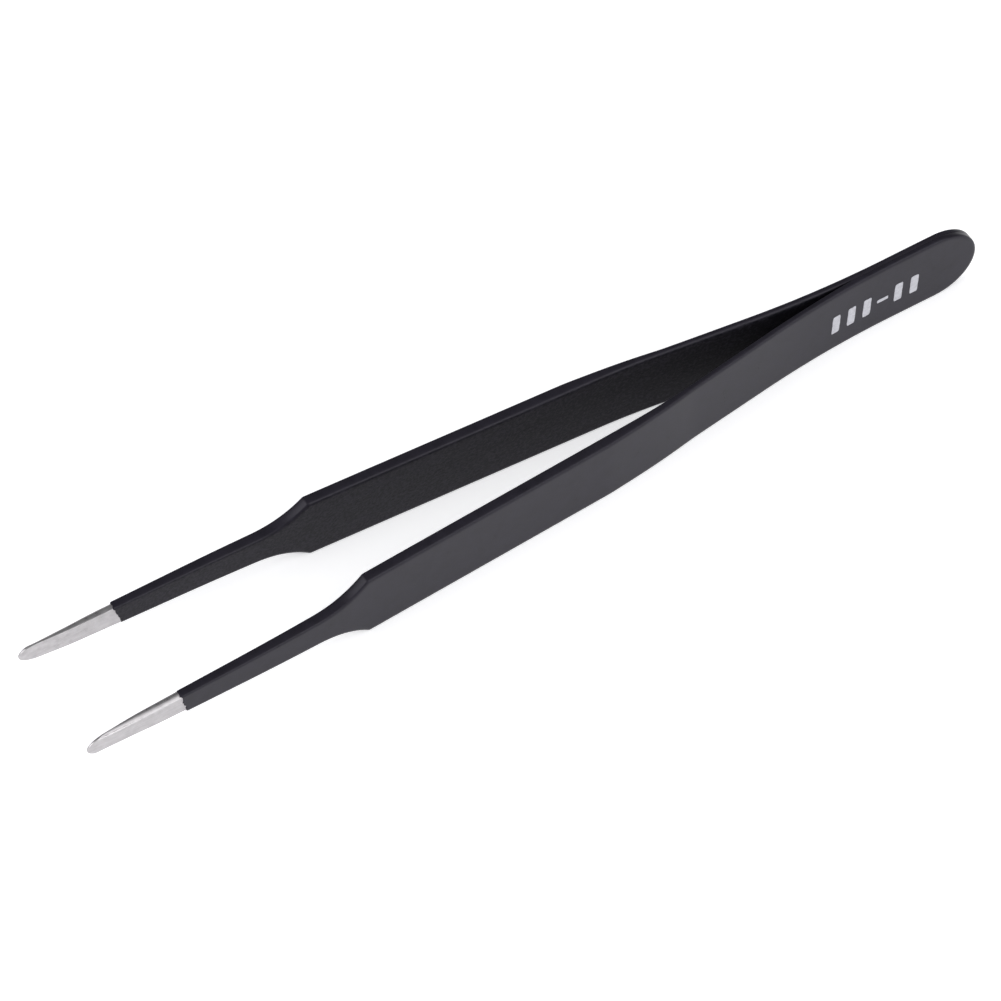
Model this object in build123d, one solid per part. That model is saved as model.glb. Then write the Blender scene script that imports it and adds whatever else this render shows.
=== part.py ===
from build123d import *
import os
from math import asin, atan2, cos, degrees, radians, sin, sqrt

# Precision tweezers, standing on their lower edges. +X points along the arms to the tips, +Y to the
# left arm and +Z up. Lengths are millimetres. Everything is drawn with x = 0 at the coated tail end;
# the last lines move it so that the origin is under the middle of the tweezers.

# --- Driving dimensions ---------------------------------------------------------------------------
LENGTH = 120.0               # coated tail end to bare tips
COAT = 0.10                  # thickness of the coating on every side of the steel
COAT_ROUND = 0.25            # rounding of the coated edges
COAT_END = 108.0             # distance along the arm where the coating stops and the bare tip starts

# Blank: the outline of one arm's steel, seen from its flat side.
TAIL_WIDTH = 9.30            # across the tail, where its rounded end begins
TAIL_ROUND = 5.20            # length of the tail's half-oval end
WAIST_X = 35.0               # where the upper edge has lost most of its slope
WAIST_WIDTH = 8.85
SHOULDER_WIDTH = 8.67        # across the grip, at its shoulder
SHOULDER_ROUND = 0.50        # rounding of the two shoulder corners
NECK_X = 91.05               # centre of the hollow arcs that run from the shoulder into the neck
NECK_ARC = 10.56             # radius of those arcs
NECK_HALF = 1.79             # half the neck's width at NECK_X
NECK_SLOPE = -0.0215         # change of that half width per millimetre towards the tip
NOSE_LENGTH = 2.4            # half-oval nose of the tip

# Bends: the path of an arm's inner face from the tail end, as (length, turn in degrees).
BENDS = (
    (11.2, 0.0),             # welded stretch, flat on the other arm
    (17.5, 7.9),             # spreads the arms
    (11.2, 0.0),
    (8.2, -4.57),            # turns them most of the way back
    (40.9, 0.0),             # grip
    (11.6, -1.68),           # slight turn through the shoulder
    (12.4, 0.0),             # neck
    (2.0, 3.0),              # sets the tip so that it lies flat on the other one when they close
    (8.0, 0.0),              # tip
)
FLEX_BENDS = 4               # the first four stretches, up to the grip, where the arm flexes

# Thickness of the steel along the arm.
THIN = 0.60                  # rolled thin from the tail to the last of those bends
THICK = 1.26                 # grip
THICK_FROM = 51.6            # end of the ramp from thin to thick, which starts with that bend
THIN_OUT_FROM = 88.0         # start of the long taper towards the tip
TIP_FROM = 110.0             # start of the tip, whose outer face slopes down in a shallow curve
TIP_FROM_THICKNESS = 0.92
TIP_HALFWAY_THICKNESS = 0.687
TIP_END = 120.8              # just past the nose, which the blank's outline cuts
TIP_END_THICKNESS = 0.15

# Tip: a flat ground along each outer edge, which runs out towards the coating.
GRIND_STEEPNESS = 1.9        # thickness lost per millimetre of width
GRIND_START = (111.5, 1.34, 0.86)    # distance along the arm, half width, thickness of the edge there
GRIND_END = (117.6, 1.21, 0.12)

# Welds and flexure.
WELD_X = (3.8, 6.9, 10.0)    # spot welds between the two tails
WELD_RADIUS = 1.2
WELD_DEPTH = 0.35            # how far a weld reaches into each arm
HINGE = 30.0                 # distance along the arm where the flexing stretch turns as one hinge
HINGE_GAP = 0.05             # saw-cut between the root and the blade of each arm

# Printed mark: a row of slanted bars on the left arm, the third of them a short dash.
MARK_START = 8.4             # distance of the first bar's middle from the tail end
MARK_PITCH = 2.14
MARK_COUNT = 6
MARK_DASH = 2                # which bar is the dash, counted from zero
MARK_BAR = (1.05, 2.80)      # width and height of a bar
MARK_DASH_SIZE = (1.50, 0.50)
MARK_HEIGHT = 4.20           # height of the row's middle above the lower edge
MARK_SLANT = -0.075          # lean of a bar, in millimetres along the arm per millimetre up
MARK_THICKNESS = 0.03
MARK_REACH = 26.0            # the printed layer is worked out from the tail end to here

OVERRUN = 1.0                # how far the thickness prism runs past the tail end
REACH = 20.0                 # past the object's edge on every side, for cutting solids


# --- Path of an arm -------------------------------------------------------------------------------
def station(distance):
    """Point and heading of the left arm's inner face at a distance from the steel's tail end."""
    x, y, heading = COAT, 0.0, 0.0
    left = distance
    for length, turn in BENDS:
        step = min(left, length)
        if turn:
            radius = length / radians(turn)
            new = heading + step / radius
            x += radius * (sin(new) - sin(heading))
            y += radius * (cos(heading) - cos(new))
            heading = new
        else:
            x += step * cos(heading)
            y += step * sin(heading)
        left -= step
        if left <= 0:
            break
    return x, y, heading


def at(distance, outward=0.0):
    """Point beside the path: outward is measured square to the inner face, into the steel."""
    x, y, heading = station(distance)
    return (x - outward * sin(heading), y + outward * cos(heading))


def stretch(start, end, first, last, curved=False):
    """One edge beside the path, from one distance to another, with its outward place at each end."""
    ends = at(start, first), at(end, last)
    if not curved:
        return Line(*ends)
    return ThreePointArc(ends[0], at((start + end) / 2, (first + last) / 2), ends[1])


def bend_ends():
    """Distances along the path where each stretch of BENDS ends."""
    total, ends = 0.0, []
    for length, _ in BENDS:
        total += length
        ends.append(total)
    return ends


def inner_edges(grow):
    """Inner face, edge by edge, from the tail to past the tip."""
    start, edges = -OVERRUN, []
    for (_, turn), end in zip(BENDS, bend_ends()):
        stop = min(end, TIP_END)
        edges.append(stretch(start, stop, -grow, -grow, turn != 0))
        start = stop
    return edges


def ramp_thickness(distance):
    """Thickness on the ramp from thin to thick, and at its ends."""
    start = bend_ends()[FLEX_BENDS - 2]
    share = (distance - start) / (THICK_FROM - start)
    return THIN + (THICK - THIN) * min(max(share, 0.0), 1.0)


def outer_edges(grow):
    """Outer face, from the tail to past the tip: thin, ramp, thick, long taper, curved tip."""
    edges, start = [], -OVERRUN
    for (_, turn), end in list(zip(BENDS, bend_ends()))[:FLEX_BENDS]:
        first, last = ramp_thickness(start), ramp_thickness(end)
        edges.append(stretch(start, end, first + grow, last + grow, turn != 0))
        start = end
    edges += [
        stretch(start, THICK_FROM, ramp_thickness(start) + grow, THICK + grow),
        stretch(THICK_FROM, THIN_OUT_FROM, THICK + grow, THICK + grow),
        stretch(THIN_OUT_FROM, TIP_FROM, THICK + grow, TIP_FROM_THICKNESS + grow, True),
    ]
    halfway = (TIP_FROM + TIP_END) / 2
    edges.append(ThreePointArc(
        at(TIP_FROM, TIP_FROM_THICKNESS + grow),
        at(halfway, TIP_HALFWAY_THICKNESS + grow),
        at(TIP_END, TIP_END_THICKNESS + grow),
    ))
    return edges


def thickness_prism(inner, outer):
    """Upright prism between two rows of edges that run from the tail to the tip."""
    ends = [Line(inner[0] @ 0, outer[0] @ 0), Line(inner[-1] @ 1, outer[-1] @ 1)]
    face = make_face(Wire(inner + outer + ends))
    return Pos(0, 0, -REACH) * extrude(face, 2 * REACH, dir=(0, 0, 1))


# --- Blank ----------------------------------------------------------------------------------------
def neck_half(x):
    """Half the neck's width at a distance from the tail end."""
    return NECK_HALF + NECK_SLOPE * (x - NECK_X)


def flank(grow, edge_half):
    """Shoulder corner, middle and end of the hollow arc, as (x, half width)."""
    slant = sqrt(1 + NECK_SLOPE ** 2)
    radius = NECK_ARC - grow
    centre = (NECK_X, NECK_HALF + NECK_ARC * slant)
    first = atan2(edge_half - centre[1], -sqrt(radius ** 2 - (centre[1] - edge_half) ** 2))
    last = atan2(-1, NECK_SLOPE)
    angles = first, (first + last) / 2, last
    return [(centre[0] + radius * cos(a), centre[1] + radius * sin(a)) for a in angles]


def blank_outline(grow):
    """Outline of one arm seen from its flat side, in x and z, grown all round."""
    low = COAT - grow
    middle = COAT + SHOULDER_WIDTH / 2
    half = SHOULDER_WIDTH / 2 + grow
    tail_half = TAIL_WIDTH / 2 + grow
    oval = COAT + TAIL_ROUND
    corner, bow, neck = flank(grow, half)
    nose_x = LENGTH - NOSE_LENGTH
    nose = neck_half(nose_x) + grow
    tip = LENGTH + grow
    pull = 0.55              # handle length of a quarter oval drawn as one cubic curve

    def up(point):
        return point[0], middle + point[1]

    def down(point):
        return point[0], middle - point[1]

    edges = []
    for side in (down, up):
        edges += [
            ThreePointArc(side(corner), side(bow), side(neck)),
            Line(side(neck), side((nose_x, nose))),
            Bezier(side((nose_x, nose)), side((nose_x + pull * NOSE_LENGTH, nose - 0.03)),
                   side((tip, pull * nose)), side((tip, 0.0))),
        ]
    tail_low = (oval, low)
    tail_high = (oval, low + 2 * tail_half)
    edges += [
        Line(tail_low, down(corner)),
        EllipticalCenterArc((oval, low + tail_half), TAIL_ROUND + grow, tail_half, start_angle=90,
                            arc_size=180),
        Spline(tail_high, (WAIST_X, COAT + WAIST_WIDTH + grow), up(corner),
               tangents=((1, 0), (1, -0.004))),
    ]
    face = make_face(Wire(edges))
    corners = [v for v in face.vertices() if abs(v.X - corner[0]) < 0.01]
    return fillet(corners, SHOULDER_ROUND + grow)


def blank_prism(grow):
    """The outline made solid along Y, over the whole spread of the left arm."""
    flat = Plane(origin=(0, -REACH, 0), x_dir=(1, 0, 0), z_dir=(0, -1, 0))
    return extrude(flat * blank_outline(grow), 2 * REACH, dir=(0, 1, 0))


# --- Arms -----------------------------------------------------------------------------------------
def cross_plane(distance):
    """Upright plane square to the left arm, facing the tip."""
    x, y, heading = station(distance)
    return Plane(origin=(x, y, 0), x_dir=(0, 0, 1), z_dir=(cos(heading), sin(heading), 0))


def tipward(solid, distance):
    """The part of a solid on the tip's side of a distance along the arm."""
    return split(solid, bisect_by=cross_plane(distance), keep=Keep.TOP)


def tailward(solid, distance):
    """The part of a solid on the tail's side of a distance along the arm."""
    return split(solid, bisect_by=cross_plane(distance), keep=Keep.BOTTOM)


def grind_plane(side):
    """Plane of the flat ground along the upper (side 1) or lower (side -1) outer edge of a tip."""
    middle = COAT + SHOULDER_WIDTH / 2
    points = []
    for distance, half, thickness in (GRIND_START, GRIND_END):
        points.append(Vector(*at(distance, thickness), middle + side * half))
    distance, half, thickness = GRIND_START
    points.append(Vector(*at(distance, thickness + GRIND_STEEPNESS * 0.5), middle + side * (half - 0.5)))
    normal = (points[1] - points[0]).cross(points[2] - points[0])
    if normal.Y < 0:
        normal = -normal
    return Plane(origin=points[0], z_dir=normal)


def steel_arm():
    """The left arm's steel: the bent blank, with its tip ground on both outer edges."""
    arm = thickness_prism(inner_edges(0), outer_edges(0)) & blank_prism(0)
    for side in (-1, 1):
        arm = split(arm, bisect_by=grind_plane(side), keep=Keep.BOTTOM)
    return arm


def runs_along(edge):
    """True for an edge that runs along an arm or round its tail, not across it."""
    return edge.geom_type != GeomType.LINE or abs((edge % 0.5).X) > 0.2


def coated_arm():
    """The left arm with its coating, as one solid with rounded edges."""
    body = thickness_prism(inner_edges(COAT), outer_edges(COAT)) & blank_prism(COAT)
    body = tailward(body, COAT_END)
    return fillet([e for e in body.edges() if runs_along(e)], COAT_ROUND)


def right(solid):
    """The right arm's copy of a solid of the left arm."""
    return mirror(solid, about=Plane.XZ)


# --- Pieces that join or cover the arms -----------------------------------------------------------
def weld(x):
    """One spot weld: a lens-shaped nugget across the joint between the two tails."""
    height = COAT + TAIL_WIDTH / 2
    half = [(0, 0), (WELD_RADIUS, 0), (WELD_RADIUS * 0.75, WELD_DEPTH), (0, WELD_DEPTH)]
    face = make_face(Polyline(*half, close=True))
    nugget = revolve(face, axis=Axis.Y)
    nugget = nugget + mirror(nugget, about=Plane.XZ)
    return Pos(x, 0, height) * nugget


def mark_bar(number):
    """Outline of one slanted bar of the mark, pushed through the left arm's outer face."""
    width, height = MARK_DASH_SIZE if number == MARK_DASH else MARK_BAR
    x = MARK_START + MARK_PITCH * number
    lean = MARK_SLANT * height / 2
    low, high = MARK_HEIGHT - height / 2, MARK_HEIGHT + height / 2
    rear, front = x - width / 2, x + width / 2
    corners = [(rear - lean, low), (front - lean, low), (front + lean, high), (rear + lean, high)]
    flat = Plane(origin=(0, 0, 0), x_dir=(1, 0, 0), z_dir=(0, -1, 0))
    return extrude(flat * make_face(Polyline(*corners, close=True)), REACH, dir=(0, 1, 0))


def mark():
    """The printed row of bars, a thin layer that follows the coating's outer face."""
    straight = bend_ends()[0]

    def layer(outward):
        return [stretch(-OVERRUN, straight, outward, outward),
                stretch(straight, MARK_REACH, outward, outward, True)]

    face = THIN + COAT
    ink = thickness_prism(layer(face), layer(face + MARK_THICKNESS))
    return Compound([ink & mark_bar(number) for number in range(MARK_COUNT)])


# --- Nodes ----------------------------------------------------------------------------------------
def nodes():
    """Every piece, by the name of its node."""
    steel = steel_arm()
    coated = coated_arm()
    welds = [weld(x) for x in WELD_X]

    root = tailward(steel, HINGE)
    blade = tipward(steel, HINGE + HINGE_GAP)
    coated_root = tailward(coated, HINGE)
    skin = tipward(coated, HINGE + HINGE_GAP) - blade
    tail_skin = coated_root + right(coated_root) - steel - right(steel)
    for nugget in welds:
        root = root - nugget
        tail_skin = tail_skin - nugget
    return {
        "left_arm_root": root,
        "right_arm_root": right(root),
        "spot_welds": Compound(welds),
        "tail_coating": tail_skin,
        "printed_mark": mark(),
        "left_arm_blade": blade,
        "left_coating": skin,
        "right_arm_blade": right(blade),
        "right_coating": right(skin),
    }


def closing_angle():
    """Turn of one arm about its flexure that brings it to the middle plane, in degrees, and where."""
    pivot = at(HINGE, -COAT)
    turns = []
    for distance in range(60, int(LENGTH)):
        x, y = at(distance, -COAT if distance <= COAT_END else 0.0)
        reach = sqrt((x - pivot[0]) ** 2 + (y - pivot[1]) ** 2)
        turns.append((degrees(atan2(y - pivot[1], x - pivot[0]) + asin(pivot[1] / reach)), distance))
    return min(turns)


os.makedirs("parts", exist_ok=True)
centred = Pos(-LENGTH / 2, 0, 0)
for name, shape in nodes().items():
    export_step(centred * shape, f"parts/{name}.step")
print("pivot", at(HINGE, -COAT), "closes by (degrees, distance)", closing_angle())
print("heading of the tip", degrees(station(LENGTH)[2]))
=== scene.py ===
from math import cos, pi, radians, sin, sqrt

import bmesh
import bpy
import numpy as np
from mathutils import Matrix, Vector


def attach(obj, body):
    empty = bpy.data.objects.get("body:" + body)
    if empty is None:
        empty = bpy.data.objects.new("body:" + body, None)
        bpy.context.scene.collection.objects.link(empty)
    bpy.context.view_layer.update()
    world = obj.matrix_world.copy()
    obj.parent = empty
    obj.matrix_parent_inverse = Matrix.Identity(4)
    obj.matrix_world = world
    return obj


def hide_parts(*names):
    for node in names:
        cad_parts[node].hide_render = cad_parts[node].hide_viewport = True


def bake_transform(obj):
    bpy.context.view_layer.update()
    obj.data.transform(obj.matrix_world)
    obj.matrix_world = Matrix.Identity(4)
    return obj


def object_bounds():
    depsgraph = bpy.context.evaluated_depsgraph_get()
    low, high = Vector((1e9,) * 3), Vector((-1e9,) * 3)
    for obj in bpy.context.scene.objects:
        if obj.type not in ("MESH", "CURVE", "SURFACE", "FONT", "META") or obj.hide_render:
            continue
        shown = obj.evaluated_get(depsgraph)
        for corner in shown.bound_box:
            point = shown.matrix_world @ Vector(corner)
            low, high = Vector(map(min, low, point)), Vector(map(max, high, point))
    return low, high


# Looks of the precision tweezers. Shapes are worked out in millimetres from the tail end, with the same
# driving dimensions as the CAD, and go into the frame's metres in one place, place().

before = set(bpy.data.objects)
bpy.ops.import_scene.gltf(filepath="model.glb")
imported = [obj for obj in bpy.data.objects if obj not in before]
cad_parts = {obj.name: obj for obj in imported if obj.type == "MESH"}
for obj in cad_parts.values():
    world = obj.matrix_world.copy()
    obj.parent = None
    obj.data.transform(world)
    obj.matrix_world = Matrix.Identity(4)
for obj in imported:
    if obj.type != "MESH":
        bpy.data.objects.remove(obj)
cad_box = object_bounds()

MM = 0.001
TAIL_X = cad_box[0].x                       # the frame's x of the coated tail end
LENGTH = (cad_box[1].x - cad_box[0].x) / MM

# --- Driving dimensions of an arm, in millimetres -------------------------------------------------
COAT = 0.10                                 # thickness of the coating
COAT_END = 108.0                            # distance along the arm where the coating stops
TAIL_WIDTH = 9.30                           # across the tail, where its rounded end begins
TAIL_ROUND = 5.20                           # length of the tail's half-oval end
WAIST_X = 35.0                              # where the upper edge has lost most of its slope
WAIST_WIDTH = 8.85
WAIST_SLOPE = -0.0125                       # slope of the upper edge at the waist
SHOULDER_WIDTH = 8.67                       # across the grip, at its shoulder
SHOULDER_SLOPE = -0.004                     # slope of the upper edge at the shoulder
SHOULDER_ROUND = 0.50                       # rounding of the two shoulder corners
NECK_X = 91.05                              # centre of the hollow arcs from the shoulder to the neck
NECK_ARC = 10.56                            # radius of those arcs
NECK_HALF = 1.79                            # half the neck's width at NECK_X
NECK_SLOPE = -0.0215                        # change of that half width per millimetre towards the tip
NOSE_LENGTH = 2.4                           # rounded end of the tip
SHOULDER_X = NECK_X - 6.6                   # where the grip's upper edge reaches its shoulder width
MIDDLE = COAT + SHOULDER_WIDTH / 2          # height of the neck's and the tip's middle line

# Path of the inner face from the tail end, as (length, turn in degrees).
BENDS = ((11.2, 0.0), (17.5, 7.9), (11.2, 0.0), (8.2, -4.57), (40.9, 0.0), (11.6, -1.68), (12.4, 0.0),
         (2.0, 3.0), (8.0, 0.0))

# Thickness of the steel, as (distance, thickness) up to the tip, whose outer face slopes down in a curve.
THICKNESS = ((0.0, 0.60), (39.9, 0.60), (51.6, 1.26), (88.0, 1.26), (108.0, 0.95), (110.0, 0.92))
TIP_FROM = 110.0
TIP_END = 120.8
TIP_END_THICKNESS = 0.15

# Ground tip: the outer edges are thinned and rounded, more and more towards the end.
GRIND_EDGE = (0.95, -0.06, -0.0075)         # edge's thickness: its start, then per mm and per mm squared
GRIND_LEAST = 0.06                          # least thickness of the edge
GRIND_WIDTH = 0.26                          # least width of the rounding
GRIND_STEEPNESS = 2.0                       # thickness lost per millimetre of width
GRIND_ROUND = 0.35                          # share of the edge's thickness that the rounding leaves flat

# Rounding of the edges: reach across the face and depth down the edge, and how it varies.
COATED_ROUND = (0.46, 0.22)
BARE_REACH = 0.07                           # reach on the bare tip
FULL_ROUND_HALF = 2.3                       # half width from which the rounding has its full size
JOINED_SHARE = 0.25                         # size on the inner face where the two arms lie on each other
JOINED_END = 15.0                           # distance from the tail end where that stretch ends

# Coating: a shell that stops clear of the steel, with a finish and painted shade that vary along the inner
# faces.
SHELL_GAP = 0.005                           # between the coating's inside and the steel
SHELL_END_ROUND = 0.13                      # rounding of the coating's end
INNER_FADE = (42.0, 72.0)                   # the inner faces' rough finish and painted shade fade between these distances
GRIP_SHARE = 0.7                            # to this share of it

# Printed row of bars on the left arm.
MARK_START = 8.4                            # middle of the first bar
MARK_PITCH = 2.14                           # from bar to bar
MARK_COUNT = 6
MARK_DASH = 2                               # the bar with this number, counted from 0, is a dash
MARK_BAR = (1.05, 2.80)                     # width and height of the others
MARK_DASH_SIZE = (1.50, 0.50)
MARK_HEIGHT = 4.20                          # middle of the row
MARK_SLANT = -0.075                         # lean, as x per z


# --- Path and thickness ---------------------------------------------------------------------------
LEAD_IN = 1.0                               # straight stretch in front of the steel's tail end
SOFT = 61                                   # stations over which bends and ramps are eased
TIP_SOFT = 11                               # the same on the tip


def walk(step=0.05):
    """Dense stations along the steel's inner face: distance, x, y and heading."""
    distance, x, y, heading = [-LEAD_IN, 0.0], [COAT - LEAD_IN, COAT], [0.0, 0.0], [0.0, 0.0]
    for length, turn in BENDS:
        count = int(round(length / step))
        for _ in range(count):
            turned = radians(turn) / count
            middle = heading[-1] + turned / 2
            distance.append(distance[-1] + length / count)
            x.append(x[-1] + length / count * cos(middle))
            y.append(y[-1] + length / count * sin(middle))
            heading.append(heading[-1] + turned)
    return np.array(distance), np.array(x), np.array(y), np.array(heading)


def eased(values, count):
    """The values with their kinks rounded over a number of stations."""
    kernel = np.hanning(count)
    kernel /= kernel.sum()
    return np.convolve(np.pad(values, count // 2, mode="edge"), kernel, mode="valid")


PATH_S, PATH_X, PATH_Y, PATH_A = walk()
PATH_Y, PATH_A = eased(PATH_Y, SOFT), eased(PATH_A, SOFT)


def thickness_table():
    """Thickness of the steel at every station."""
    stations, values = zip(*THICKNESS)
    t = np.interp(PATH_S, stations, values)
    run = TIP_END - TIP_FROM
    u = np.clip((PATH_S - TIP_FROM) / run, 0, 1)
    slope = (values[-1] - values[-2]) / (stations[-1] - stations[-2])
    drop = values[-1] - TIP_END_THICKNESS + slope * run
    t = np.where(PATH_S > TIP_FROM, values[-1] + slope * run * u - drop * u ** 2, t)
    return np.where(PATH_S < TIP_FROM - 4, eased(t, SOFT), eased(t, TIP_SOFT))


PATH_T = thickness_table()


def place(x, n, z, side=1):
    """Frame point of an arm: x along, n square to the inner face, z up; side 1 is the left arm."""
    foot = x + n * np.sin(np.interp(x, PATH_X, PATH_A))
    a = np.interp(foot, PATH_X, PATH_A)
    y = np.interp(foot, PATH_X, PATH_Y) + n * np.cos(a)
    return np.stack([TAIL_X + x * MM, side * y * MM, z * MM], -1)


def thickness(x):
    """Thickness of the steel at x."""
    return np.interp(x, PATH_X, PATH_T)


# --- Outline of the blank -------------------------------------------------------------------------
ARC_POINTS = 26                             # points of the tail's quarter oval and of each hollow arc
GRIP_STEP = 0.7                             # spacing of the points along the grip
NECK_STEP = 0.6                             # and along the neck


def neck_half(x):
    """Half the width of the neck's and the tip's steel at x."""
    return NECK_HALF + NECK_SLOPE * (x - NECK_X)


def bezier(p0, p1, p2, p3, t):
    """Points of a cubic curve."""
    p0, p1, p2, p3 = (np.array(p, float) for p in (p0, p1, p2, p3))
    t = t[:, None]
    return p0 * (1 - t) ** 3 + 3 * p1 * t * (1 - t) ** 2 + 3 * p2 * t ** 2 * (1 - t) + p3 * t ** 3


def hermite(x, x0, x1, v0, v1, s0, s1):
    """Smooth height between two points with given slopes."""
    t = (x - x0) / (x1 - x0)
    return ((1 + 2 * t) * (1 - t) ** 2 * v0 + t * (1 - t) ** 2 * (x1 - x0) * s0
            + t ** 2 * (3 - 2 * t) * v1 + t ** 2 * (t - 1) * (x1 - x0) * s1)


def edge_heights(x, grow, upper):
    """Height of the grip's lower or upper edge at x."""
    if not upper:
        return np.full_like(x, COAT - grow)
    top = COAT + grow
    rear = hermite(x, COAT + TAIL_ROUND, WAIST_X, top + TAIL_WIDTH, top + WAIST_WIDTH, 0, WAIST_SLOPE)
    front = hermite(x, WAIST_X, SHOULDER_X, top + WAIST_WIDTH, top + SHOULDER_WIDTH, WAIST_SLOPE,
                    SHOULDER_SLOPE)
    return np.where(x < WAIST_X, rear, front)


def corner_round(before, corner, after, radius, count):
    """Arc that rounds a corner between two directions, as points."""
    a = (before - corner) / np.linalg.norm(before - corner)
    b = (after - corner) / np.linalg.norm(after - corner)
    half = np.arccos(np.clip(a @ b, -1, 1)) / 2
    cut = radius / np.tan(half)
    start, end = corner + a * cut, corner + b * cut
    middle = (a + b) / np.linalg.norm(a + b)
    centre = corner + middle * radius / np.sin(half)
    points = []
    for t in np.linspace(0, 1, count):
        p = start * (1 - t) + end * t - centre
        points.append(centre + p / np.linalg.norm(p) * radius)
    return np.array(points), cut


def tail_oval(grow, sign):
    """Quarter of the tail's oval end, from its tip to the lower (-1) or upper (1) edge."""
    a, b = TAIL_ROUND + grow, TAIL_WIDTH / 2 + grow
    angles = np.linspace(0, pi / 2, ARC_POINTS)
    return np.stack([COAT + TAIL_ROUND - a * np.cos(angles),
                     COAT + TAIL_WIDTH / 2 + sign * b * np.sin(angles)], -1)


def hollow_arc(grow, sign):
    """Arc from the corner of the shoulder to where it runs smoothly into the neck."""
    half = SHOULDER_WIDTH / 2 + grow
    radius = NECK_ARC - grow
    centre = np.array([NECK_X, NECK_HALF + NECK_ARC * sqrt(1 + NECK_SLOPE ** 2)])
    first = np.arctan2(half - centre[1], -sqrt(radius ** 2 - (centre[1] - half) ** 2))
    last = -pi / 2 + NECK_SLOPE
    sweep = np.linspace(first % (2 * pi), last % (2 * pi), ARC_POINTS)
    arc = centre + radius * np.stack([np.cos(sweep), np.sin(sweep)], -1)
    arc[:, 1] = MIDDLE + sign * arc[:, 1]
    return arc


def tip_nose(grow, sign):
    """Rounded end of the tip, from the neck's edge to the middle line."""
    nose_x = LENGTH - NOSE_LENGTH
    start = neck_half(nose_x) + grow
    t = np.sin(np.linspace(0, pi / 2, 24))
    nose = bezier((nose_x, start), (nose_x + 0.55 * NOSE_LENGTH, start - 0.03),
                  (LENGTH + grow, 0.55 * start), (LENGTH + grow, 0), t)
    nose[:, 1] = MIDDLE + sign * nose[:, 1]
    return nose


def half_outline(grow, upper, stop):
    """One side of the blank's outline, from the tail's end to x = stop, as (x, z)."""
    sign = 1 if upper else -1
    arc = hollow_arc(grow, sign)
    corner = arc[0]
    grip_x = np.arange(COAT + TAIL_ROUND, corner[0], GRIP_STEP)[1:]
    grip = np.stack([grip_x, edge_heights(grip_x, grow, upper)], -1)
    shoulder, cut = corner_round(grip[-1], corner, arc[1], SHOULDER_ROUND + grow, 9)
    grip = grip[grip[:, 0] < corner[0] - cut - 0.15]
    arc = arc[np.linalg.norm(arc - corner, axis=1) > cut + 0.1]

    nose_x = LENGTH - NOSE_LENGTH
    neck_x = np.arange(arc[-1, 0] + NECK_STEP, min(stop, nose_x), NECK_STEP)
    neck = np.stack([neck_x, MIDDLE + sign * (neck_half(neck_x) + grow)], -1)
    if stop > nose_x:
        end = tip_nose(grow, sign)
    else:
        end = np.array([[stop, MIDDLE + sign * (neck_half(stop) + grow)]])
    return np.concatenate([tail_oval(grow, sign), grip, shoulder, arc, neck, end])


def resampled(points, count):
    """The same outline with a fixed number of points, keeping how they crowd at its turns."""
    index = np.linspace(0, len(points) - 1, count)
    whole = np.arange(len(points))
    return np.stack([np.interp(index, whole, points[:, 0]), np.interp(index, whole, points[:, 1])], -1)


def eased_normals(points, normals, reach=1.6, step=0.04):
    """Normals turned gradually round the shoulder's corners, so that insets there don't cross."""
    run = np.concatenate([[0], np.cumsum(np.linalg.norm(np.diff(points, axis=0), axis=1))])
    even = np.arange(0, run[-1], step)
    count = 2 * int(reach / step) + 1
    soft = np.stack([eased(np.interp(even, run, normals[:, k]), count) for k in (0, 1)], -1)
    soft = np.stack([np.interp(run, even, soft[:, k]) for k in (0, 1)], -1)
    soft /= np.linalg.norm(soft, axis=1)[:, None]
    near = np.clip((COAT_END - 4 - points[:, 0]) / 4, 0, 1)[:, None]
    return normals * (1 - near) + soft * near


# --- Arm surfaces ---------------------------------------------------------------------------------
def outline_pair(grow, stop, end_round=0.0):
    """Lower and upper outline with outward normals, and how far the end curls in at each point."""
    low, high = half_outline(grow, False, stop - end_round), half_outline(grow, True, stop - end_round)
    count = max(len(low), len(high))
    low, high = resampled(low, count), resampled(high, count)
    curl = np.zeros(count)
    if end_round:
        angles = np.linspace(0, pi / 2, 8)[1:]
        tail = stop - end_round + end_round * np.sin(angles)
        rows = []
        for row, sign in ((low, -1), (high, 1)):
            z = MIDDLE + sign * (neck_half(tail) + grow)
            rows.append(np.concatenate([row, np.stack([tail, z], -1)]))
        low, high = rows
        curl = np.concatenate([curl, grow * (1 - np.cos(angles))])
    whole = np.concatenate([high[:0:-1], low])
    tangent = np.gradient(whole, axis=0)
    tangent /= np.linalg.norm(tangent, axis=1)[:, None]
    normal = np.stack([-tangent[:, 1], tangent[:, 0]], -1)
    if normal[0, 1] < 0:
        normal = -normal
    normal = eased_normals(whole, normal)
    last = len(high) - 1
    normal_high = normal[:last + 1][::-1]
    normal_low = normal[last:]
    if end_round == 0.0 and stop >= LENGTH:
        normal_high[-1] = normal_low[-1] = (1.0, 0.0)
    return (low, normal_low), (high, normal_high), curl


def ring_list(across, down, support, steps):
    """Stations round one edge of a section, as (inset from the outline, depth from the face)."""
    rings = [(across + support, 0.0), (across, 0.0)]
    for k in range(1, steps + 1):
        a = pi / 2 * k / steps
        rings.append((across * (1 - sin(a)), down * (1 - cos(a))))
    return rings


EDGE_RINGS = ring_list(*COATED_ROUND, 0.2, 6)
STEEL_COLUMNS = 36                          # points across a face between its two rounded edges
COATING_COLUMNS = 10


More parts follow.
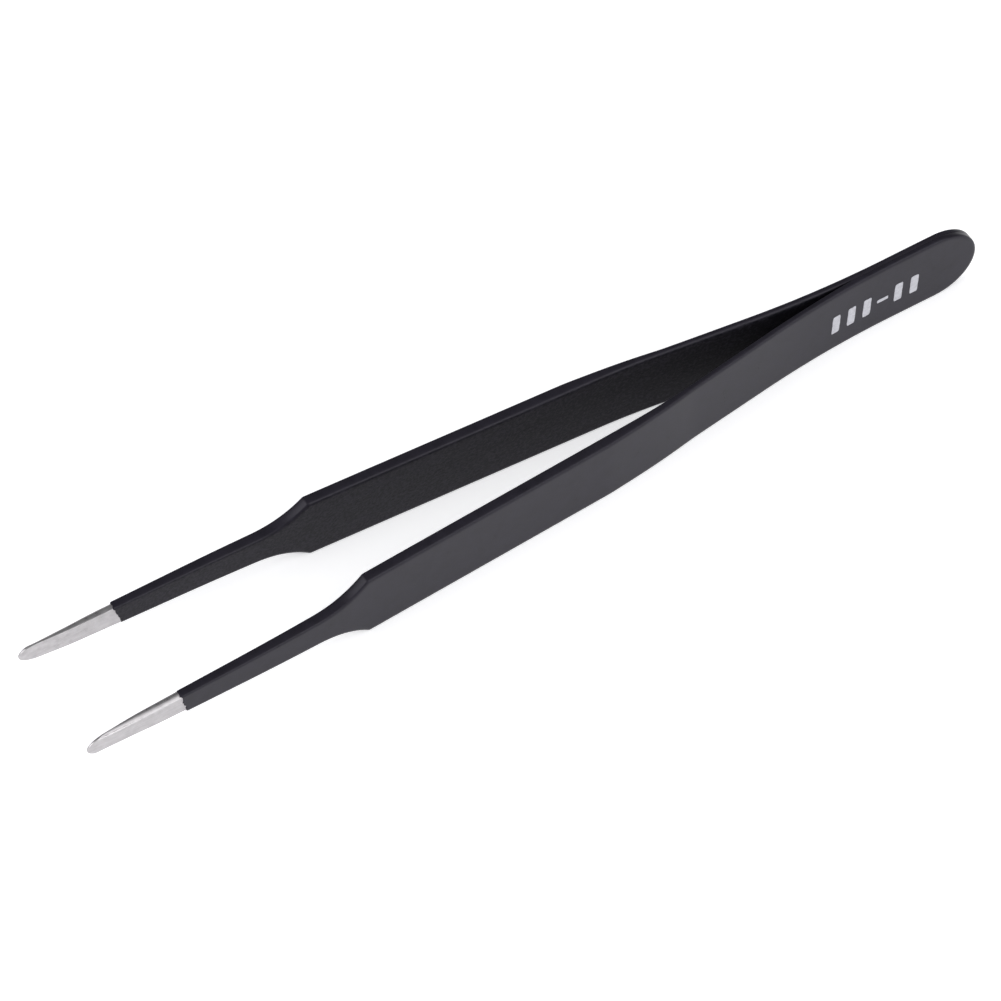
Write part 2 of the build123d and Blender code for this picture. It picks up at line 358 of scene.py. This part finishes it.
def section_grid(outline, inner_n, outer_n, rings, columns, sizes, shave=None):
    """Points (x, n, z) of every section, as one closed loop each, from the tail to the end.

    sizes gives how large the rounding is at a point (x, z), for the inner and for the outer face.
    """
    (low, normal_low), (high, normal_high), curl = outline

    def ring(points, normals, inset, down, outer):
        size = sizes[outer](points[:, 0], points[:, 1])
        p = points - (inset * size + curl)[:, None] * normals
        inner, face = inner_n(p[:, 0]) + curl, outer_n(p[:, 0]) - curl
        if down is None:
            n = (inner + face) / 2
        elif outer:
            n = face - down * size
        else:
            n = inner + down * size
        return np.stack([p[:, 0], n, p[:, 1]], -1)

    def side(points, normals):
        loop = [ring(points, normals, inset, down, 0) for inset, down in rings]
        loop.append(ring(points, normals, 0.0, None, 0))
        loop += [ring(points, normals, inset, down, 1) for inset, down in reversed(rings)]
        return loop

    lower, upper = side(low, normal_low), side(high, normal_high)
    shares = np.linspace(0, 1, columns + 2)[1:-1]
    loop = [lower[0] * (1 - t) + upper[0] * t for t in shares]
    loop += upper
    loop += [upper[-1] * (1 - t) + lower[-1] * t for t in shares]
    loop += lower[::-1]
    grid = np.stack(loop, 1)
    if shave:
        grid[:, :, 1] = shave(grid[:, :, 0], grid[:, :, 1], grid[:, :, 2])
    return grid


def grid_faces(rows, loop, start=0):
    """Quads between neighbouring sections."""
    faces = []
    for i in range(rows - 1):
        for c in range(loop):
            d = (c + 1) % loop
            faces.append((start + i * loop + c, start + i * loop + d, start + (i + 1) * loop + d,
                          start + (i + 1) * loop + c))
    return faces


def new_mesh(name, points, faces, inner=None):
    """Closed, smooth-shaded mesh piece from frame points and faces; inner tags its inward points."""
    mesh = bpy.data.meshes.new(name)
    mesh.from_pydata([tuple(p) for p in points], [], faces)
    if inner is not None:
        tag = mesh.attributes.new("inner", "FLOAT", "POINT")
        tag.data.foreach_set("value", inner.astype(np.float32))
    piece = bpy.data.objects.new(name, mesh)
    bpy.context.scene.collection.objects.link(piece)
    bm = bmesh.new()
    bm.from_mesh(mesh)
    bmesh.ops.remove_doubles(bm, verts=bm.verts, dist=2e-7)
    bmesh.ops.dissolve_degenerate(bm, dist=1e-7, edges=bm.edges)
    bmesh.ops.recalc_face_normals(bm, faces=bm.faces)
    for face in bm.faces:
        face.smooth = True
    bm.to_mesh(mesh)
    bm.free()
    weighted = piece.modifiers.new("weighted_normals", "WEIGHTED_NORMAL")
    weighted.weight = 90
    return piece


# --- Steel ----------------------------------------------------------------------------------------
def shave_tip(x, n, z):
    """Cuts a section's points back to the two edges that are ground round towards the tip."""
    u = np.maximum(x - TIP_FROM, 0)
    full = thickness(x)
    start, slope, curve = GRIND_EDGE
    edge = np.clip(start + slope * u + curve * u ** 2, GRIND_LEAST, full - 0.02)
    rim = np.maximum(edge * GRIND_ROUND, GRIND_LEAST)
    width = GRIND_WIDTH + (full - edge) / GRIND_STEEPNESS
    near = np.clip((neck_half(x) - np.abs(z - MIDDLE)) / width, 0, 1)
    limit = rim + (full - rim) * np.sqrt(1 - (1 - near) ** 2)
    return np.where(x > COAT_END - 2, np.minimum(n, limit), n)


def edge_size(x, z):
    """How large the coated edges' rounding is at a point: smaller where the arm is narrow."""
    narrow = np.clip(np.abs(z - MIDDLE) / FULL_ROUND_HALF, 0.3, 1.0)
    return np.where(x > 60, narrow, 1.0)


def inner_edge_size(x, z):
    """The same for the inner face, which is rounded less where the two arms lie on each other."""
    t = np.clip((x - JOINED_END) / 8.0, 0, 1)
    return edge_size(x, z) * (JOINED_SHARE + (1 - JOINED_SHARE) * t * t * (3 - 2 * t))


def bare_size(coated):
    """Rounding of the steel: like the coating's under it, and small on the bare tip."""
    small = BARE_REACH / COATED_ROUND[0]

    def size(x, z):
        t = np.clip((x - COAT_END + 1.6) / 1.2, 0, 1)
        return coated(x, z) * (1 - t) + small * t
    return size


def steel_arm(name, side):
    """One arm's steel, from the tail to its rounded tip."""
    outline = outline_pair(0.0, LENGTH)
    sizes = bare_size(inner_edge_size), bare_size(edge_size)
    grid = section_grid(outline, lambda x: np.zeros_like(x), thickness, EDGE_RINGS, STEEL_COLUMNS, sizes,
                        shave=shave_tip)
    rows, loop = grid.shape[:2]
    points = place(grid[:, :, 0], grid[:, :, 1], grid[:, :, 2], side).reshape(-1, 3)
    return new_mesh(name, points, grid_faces(rows, loop))


# --- Coating --------------------------------------------------------------------------------------
# The ragged end: how much it slants on the left and the right arm, and its (waves, depth, phase).
RAGGED_SLANT = (0.30, 0.42)
RAGGED_WAVES = ((3, 0.05, 0.4), (7, 0.06, 1.3), (13, 0.05, 2.9), (23, 0.025, 0.7))


def free_or_joined(x, offset):
    """The coated inner face, which stops at the middle plane where the arms meet."""
    a = np.interp(x, PATH_X, PATH_A)
    y = np.interp(x, PATH_X, PATH_Y)
    return np.maximum(-offset, -y / np.cos(a))


def ragged(x, n, z, side):
    """Shifts the coating's end: slanted over the arm's height, and slightly uneven round it."""
    around = np.arctan2(z - MIDDLE, n - 0.5)
    slant = RAGGED_SLANT[0] if side > 0 else RAGGED_SLANT[1]
    pull = slant * np.clip((z - MIDDLE) / 1.3, -1, 1)
    for waves, depth, phase in RAGGED_WAVES:
        pull = pull + depth * np.sin(waves * around + phase * (2 + side))
    share = np.clip((x - COAT_END + 3.0) / 3.0, 0, 1)
    return x + pull * share * share


def inner_finish_and_shade(x, n):
    """How much of the inner faces' rough finish and painted shade a point has: less of it at the grip than
    near the tail, where the arms lie close.
    """
    return np.clip(1 - (n + COAT) / 0.05, 0, 1) * np.interp(x, INNER_FADE, (1.0, GRIP_SHARE))


def coating(name, side):
    """One arm's coating: a thin shell that ends in a ragged, rounded edge behind the bare tip."""
    surfaces = []
    for grow in (COAT, SHELL_GAP):
        (low, normal_low), (high, normal_high), curl = outline_pair(COAT, COAT_END, SHELL_END_ROUND)
        depth = COAT - grow
        low, high = low - depth * normal_low, high - depth * normal_high
        grid = section_grid(((low, normal_low), (high, normal_high), curl * (depth == 0)),
                            lambda x, d=depth: np.minimum(free_or_joined(x, COAT) + d, -0.001),
                            lambda x, g=grow: thickness(x) + g,
                            EDGE_RINGS, COATING_COLUMNS, (inner_edge_size, edge_size))
        grid[:, :, 0] = ragged(grid[:, :, 0], grid[:, :, 1], grid[:, :, 2], side)
        surfaces.append(grid)
    rows, loop = surfaces[0].shape[:2]
    count = rows * loop
    faces = grid_faces(rows, loop) + grid_faces(rows, loop, count)
    end = (rows - 1) * loop
    for c in range(loop):
        d = (c + 1) % loop
        faces.append((end + c, end + d, count + end + d, count + end + c))
    points = np.concatenate([place(g[:, :, 0], g[:, :, 1], g[:, :, 2], side).reshape(-1, 3)
                             for g in surfaces])
    inner = np.concatenate([inner_finish_and_shade(g[:, :, 0], g[:, :, 1]).ravel() for g in surfaces])
    return new_mesh(name, points, faces, inner)


# --- Printed bars ---------------------------------------------------------------------------------
# Rings of a bar, from its middle over its rim to its underside: (share of its size, height).
BAR_RINGS = ((0.25, 0.022), (0.5, 0.022), (0.75, 0.022), (0.93, 0.021), (1.0, 0.012), (1.0, -0.01),
             (0.5, -0.01))


def bar_outline(number, count=48):
    """Rim of one bar as (x, z): a leaning rectangle with soft corners and a slightly uneven edge."""
    width, height = MARK_DASH_SIZE if number == MARK_DASH else MARK_BAR
    a = np.linspace(0, 2 * pi, count, endpoint=False)
    reach = (np.abs(np.cos(a)) ** 9 + np.abs(np.sin(a)) ** 9) ** (-1 / 9)
    uneven = 0.012 * np.sin(5 * a + number) + 0.008 * np.sin(11 * a + 2 * number)
    x = width / 2 * reach * np.cos(a) + uneven * np.cos(a)
    z = height / 2 * reach * np.sin(a) + uneven * np.sin(a)
    return MARK_START + MARK_PITCH * number + x + MARK_SLANT * z, MARK_HEIGHT + z


def printed_bars():
    """All bars as thin layers of ink on the left arm's outer face."""
    points, faces = [], []
    for number in range(MARK_COUNT):
        rim_x, rim_z = bar_outline(number)
        middle_x, middle_z = rim_x.mean(), rim_z.mean()
        start = len(points)
        count = len(rim_x)
        for share, lift in BAR_RINGS:
            x = middle_x + share * (rim_x - middle_x)
            z = middle_z + share * (rim_z - middle_z)
            points += list(place(x, thickness(x) + COAT + lift, z))
        for k in range(len(BAR_RINGS) - 1):
            for c in range(count):
                d = (c + 1) % count
                low, high = start + k * count, start + (k + 1) * count
                faces.append((low + c, low + d, high + d, high + c))
        faces.append(tuple(range(start, start + count)))
        last = start + (len(BAR_RINGS) - 1) * count
        faces.append(tuple(range(last, last + count)))
    return new_mesh("printed_bars", points, faces)


# --- Materials ------------------------------------------------------------------------------------
class Finish:
    """A node material that is built step by step; lengths in its patterns are millimetres."""

    def __init__(self, name, **sockets):
        self.material = bpy.data.materials.new(name)
        self.material.use_nodes = True
        self.tree = self.material.node_tree
        self.shader = self.tree.nodes["Principled BSDF"]
        for socket, value in sockets.items():
            self.shader.inputs[socket.replace("_", " ")].default_value = value
        self.place = self.tree.nodes.new("ShaderNodeTexCoord").outputs["Object"]

    def node(self, kind, settings=(), **inputs):
        """Adds a node; inputs are numbers or the outputs of other nodes."""
        node = self.tree.nodes.new(kind)
        for key, value in dict(settings).items():
            setattr(node, key, value)
        for key, value in inputs.items():
            socket = node.inputs[int(key[1:])] if key[1:].isdigit() else node.inputs[key.replace("_", " ")]
            if isinstance(value, bpy.types.NodeSocket):
                self.tree.links.new(value, socket)
            else:
                socket.default_value = value
        return node

    def noise(self, size, stretch=(1, 1, 1), detail=3.0, roughness=0.55, shift=0.0):
        """Noise whose features are about size millimetres, drawn out by stretch."""
        scale = [1 / (MM * size * k) for k in stretch]
        mapped = self.node("ShaderNodeMapping", Vector=self.place, Scale=scale, Location=(shift,) * 3)
        return self.node("ShaderNodeTexNoise", Vector=mapped.outputs[0], Scale=1.0, Detail=detail,
                         Roughness=roughness).outputs["Fac"]

    def spread(self, value, low, high, start=0.3, end=0.7):
        """Maps start..end of a value to low..high."""
        return self.node("ShaderNodeMapRange", _0=value, _1=start, _2=end, _3=low, _4=high).outputs[0]

    def sum(self, a, b, kind="ADD"):
        """Two values added, or joined by another kind of sum."""
        return self.node("ShaderNodeMath", {"operation": kind}, _0=a, _1=b).outputs[0]

    def ramp(self, value, *stops):
        """Colour ramp with stops of (place, colour)."""
        node = self.node("ShaderNodeValToRGB", Fac=value)
        elements = node.color_ramp.elements
        while len(elements) < len(stops):
            elements.new(0.5)
        for element, (spot, colour) in zip(elements, stops):
            element.position = spot
            element.color = (*colour, 1)
        return node.outputs[0]

    def tag(self, name):
        """A value painted on the mesh's points."""
        return self.node("ShaderNodeAttribute", {"attribute_name": name}).outputs["Fac"]

    def set(self, socket, value):
        """Lets a pattern drive a socket of the shader."""
        self.tree.links.new(value, self.shader.inputs[socket])

    def bumps(self, *layers):
        """Bump from layers of (height, depth in millimetres), joined into the shader's normal."""
        normal = None
        for height, depth in layers:
            node = self.node("ShaderNodeBump", Height=height, Distance=depth * MM)
            if normal:
                self.tree.links.new(normal, node.inputs["Normal"])
            normal = node.outputs[0]
        self.set("Normal", normal)


def epoxy():
    """Black satin coating: faintly mottled, with orange peel, dark specks and painted shade on the inner
    faces.
    """
    f = Finish("black_epoxy", IOR=1.45, Specular_IOR_Level=0.29, Specular_Tint=(0.93, 0.90, 1.0, 1.0))
    inner = f.tag("inner")
    mottle = f.noise(1.6, detail=4)
    grain = f.noise(0.16, detail=2, shift=7.0)
    peel = f.noise(0.34, detail=3)
    patches = f.sum(f.sum(mottle, 0.6, "MULTIPLY"), f.sum(grain, 0.4, "MULTIPLY"))
    # Darkens the inner faces: dark specks, and painted shade that is deepest near the tail where the arms
    # lie close to each other.
    specks_and_shade = f.sum(inner, f.spread(peel, 0.64, 0.0, 0.35, 0.65), "MULTIPLY")
    f.set("Base Color", f.ramp(f.sum(patches, specks_and_shade, "SUBTRACT"),
                               (0.10, (0.0016, 0.0014, 0.0034)), (0.35, (0.0092, 0.0082, 0.0125)),
                               (0.62, (0.0155, 0.0140, 0.0210))))
    rough = f.sum(f.spread(mottle, 0.29, 0.35), f.spread(inner, 0.0, 0.31, 0.0, 1.0))
    f.set("Roughness", f.sum(rough, f.spread(grain, -0.02, 0.02)))
    deep = f.spread(inner, 0.25, 4.0, 0.0, 1.0)
    f.bumps((f.sum(peel, deep, "MULTIPLY"), 0.012), (f.sum(grain, deep, "MULTIPLY"), 0.006))
    return f.material


def steel():
    """Stainless steel, satin from grinding along the arm."""
    f = Finish("ground_steel", Metallic=1.0)
    lines = f.noise(0.05, stretch=(90, 1, 1), detail=2)
    strokes = f.noise(0.16, stretch=(28, 1, 1), detail=3, shift=3.0)
    cloud = f.noise(0.9, detail=4, shift=11.0)
    f.set("Base Color", f.ramp(f.sum(f.sum(cloud, 0.55, "MULTIPLY"), f.sum(strokes, 0.45, "MULTIPLY")),
                               (0.34, (0.39, 0.375, 0.385)), (0.64, (0.53, 0.515, 0.525))))
    f.set("Roughness", f.sum(f.spread(strokes, 0.27, 0.36), f.spread(cloud, -0.03, 0.03)))
    f.bumps((strokes, 0.0035), (lines, 0.0012))
    return f.material


def ink():
    """Pad-printed white ink: flat, slightly thin and pitted in places."""
    f = Finish("white_ink", IOR=1.45)
    body = f.noise(0.45, detail=3)
    pits = f.noise(0.09, detail=1, shift=5.0)
    cover = f.sum(f.sum(body, 0.5, "MULTIPLY"), f.sum(pits, 0.5, "MULTIPLY"))
    f.set("Base Color", f.ramp(cover, (0.32, (0.30, 0.30, 0.33)), (0.44, (0.47, 0.47, 0.51)),
                               (0.66, (0.56, 0.56, 0.60))))
    f.set("Roughness", f.spread(body, 0.5, 0.65))
    f.bumps((pits, 0.004))
    return f.material


def studio_white():
    """Matt white board, lit softly from behind like a light table."""
    f = Finish("floor", Roughness=0.95, Emission_Color=(0.98, 0.98, 1.0, 1.0), Emission_Strength=0.46)
    f.set("Base Color", f.ramp(f.noise(40.0, detail=2), (0.3, (0.88, 0.88, 0.88)), (0.7, (0.9, 0.9, 0.9))))
    return f.material


black, bare, white = epoxy(), steel(), ink()


for side, arm in ((1, "left"), (-1, "right")):
    metal = steel_arm(f"{arm}_steel", side)
    metal.data.materials.append(bare)
    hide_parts(f"{arm}_arm_root", f"{arm}_arm_blade")
    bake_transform(metal)
    coat = coating(f"{arm}_coat", side)
    coat.data.materials.append(black)
    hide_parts(f"{arm}_coating", *(["tail_coating"] if side == 1 else []))
    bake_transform(coat)

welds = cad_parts["spot_welds"].data
welds.materials.clear()
welds.materials.append(bare)
bars = printed_bars()
bars.data.materials.append(white)
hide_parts("printed_mark")
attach(bars, "tail")


# --- Camera ---------------------------------------------------------------------------------------
AZIMUTH = 148.52                            # degrees, from -Y round through +X
ELEVATION = 52.05
ROLL = -0.65
DISTANCE = 0.851                            # metres from the target
LENS = 276.887                              # millimetres, on a sensor 36 wide
TARGET = Vector((TAIL_X + 60.0 * MM, 0, 4.76 * MM))
OFF_CENTRE = (-2.471, -3.497)               # the camera's sideways and upward offset, in millimetres


def camera():
    """Long lens at the photograph's height and side, turned slightly about its axis."""
    azimuth, elevation, roll = radians(AZIMUTH), radians(ELEVATION), radians(ROLL)
    back = Vector((sin(azimuth) * cos(elevation), -cos(azimuth) * cos(elevation), sin(elevation)))
    right = (-back).cross(Vector((0, 0, 1))).normalized()
    up = right.cross(-back)
    across = right * cos(roll) + up * sin(roll)
    upward = up * cos(roll) - right * sin(roll)
    data = bpy.data.cameras.new("camera")
    data.sensor_width = 36.0
    data.lens = LENS
    data.clip_start, data.clip_end = 0.01, 20
    view = bpy.data.objects.new("camera", data)
    bpy.context.scene.collection.objects.link(view)
    spot = TARGET + back * DISTANCE + across * OFF_CENTRE[0] * MM + upward * OFF_CENTRE[1] * MM
    turn = Matrix((across, upward, back)).transposed().to_4x4()
    view.matrix_world = Matrix.Translation(spot) @ turn
    bpy.context.scene.camera = view


camera()


# --- Stage ----------------------------------------------------------------------------------------
FLOOR_HALF = 3.0                            # half the floor's width, in metres
SOFT_BOXES = (                              # name, place, width and height in metres, power in watts
    ("key", (-0.05, 0.62, 0.85), 1.1, 0.8, 3.5),
    ("side", (0.9, -0.25, 0.65), 1.0, 0.8, 6.2),
    ("low", (-0.30, 0.85, 0.27), 0.6, 0.25, 2.1),
    ("top", (-0.35, 0.12, 1.2), 0.9, 0.9, 2.5),
)


def floor():
    """Pale studio floor."""
    mesh = bpy.data.meshes.new("floor")
    half = FLOOR_HALF
    mesh.from_pydata([(-half, -half, 0), (half, -half, 0), (half, half, 0), (-half, half, 0)], [],
                     [(0, 1, 2, 3)])
    piece = bpy.data.objects.new("floor", mesh)
    bpy.context.scene.collection.objects.link(piece)
    mesh.materials.append(studio_white())


def soft_box(name, spot, width, height, power):
    """Soft rectangular light that points at the object."""
    data = bpy.data.lights.new(name, "AREA")
    data.shape = "RECTANGLE"
    data.size = width
    data.size_y = height
    data.energy = power
    light = bpy.data.objects.new(name, data)
    light.location = spot
    light.rotation_mode = "QUATERNION"
    light.rotation_quaternion = (-Vector(spot)).to_track_quat("-Z", "Y")
    bpy.context.scene.collection.objects.link(light)


def studio_world():
    """Dim, even surroundings."""
    world = bpy.data.worlds.new("studio")
    world.use_nodes = True
    background = world.node_tree.nodes["Background"]
    background.inputs["Color"].default_value = (0.97, 0.98, 1.0, 1)
    background.inputs["Strength"].default_value = 0.27
    bpy.context.scene.world = world


floor()
for box in SOFT_BOXES:
    soft_box(*box)
studio_world()
bpy.context.scene.view_settings.view_transform = "Standard"
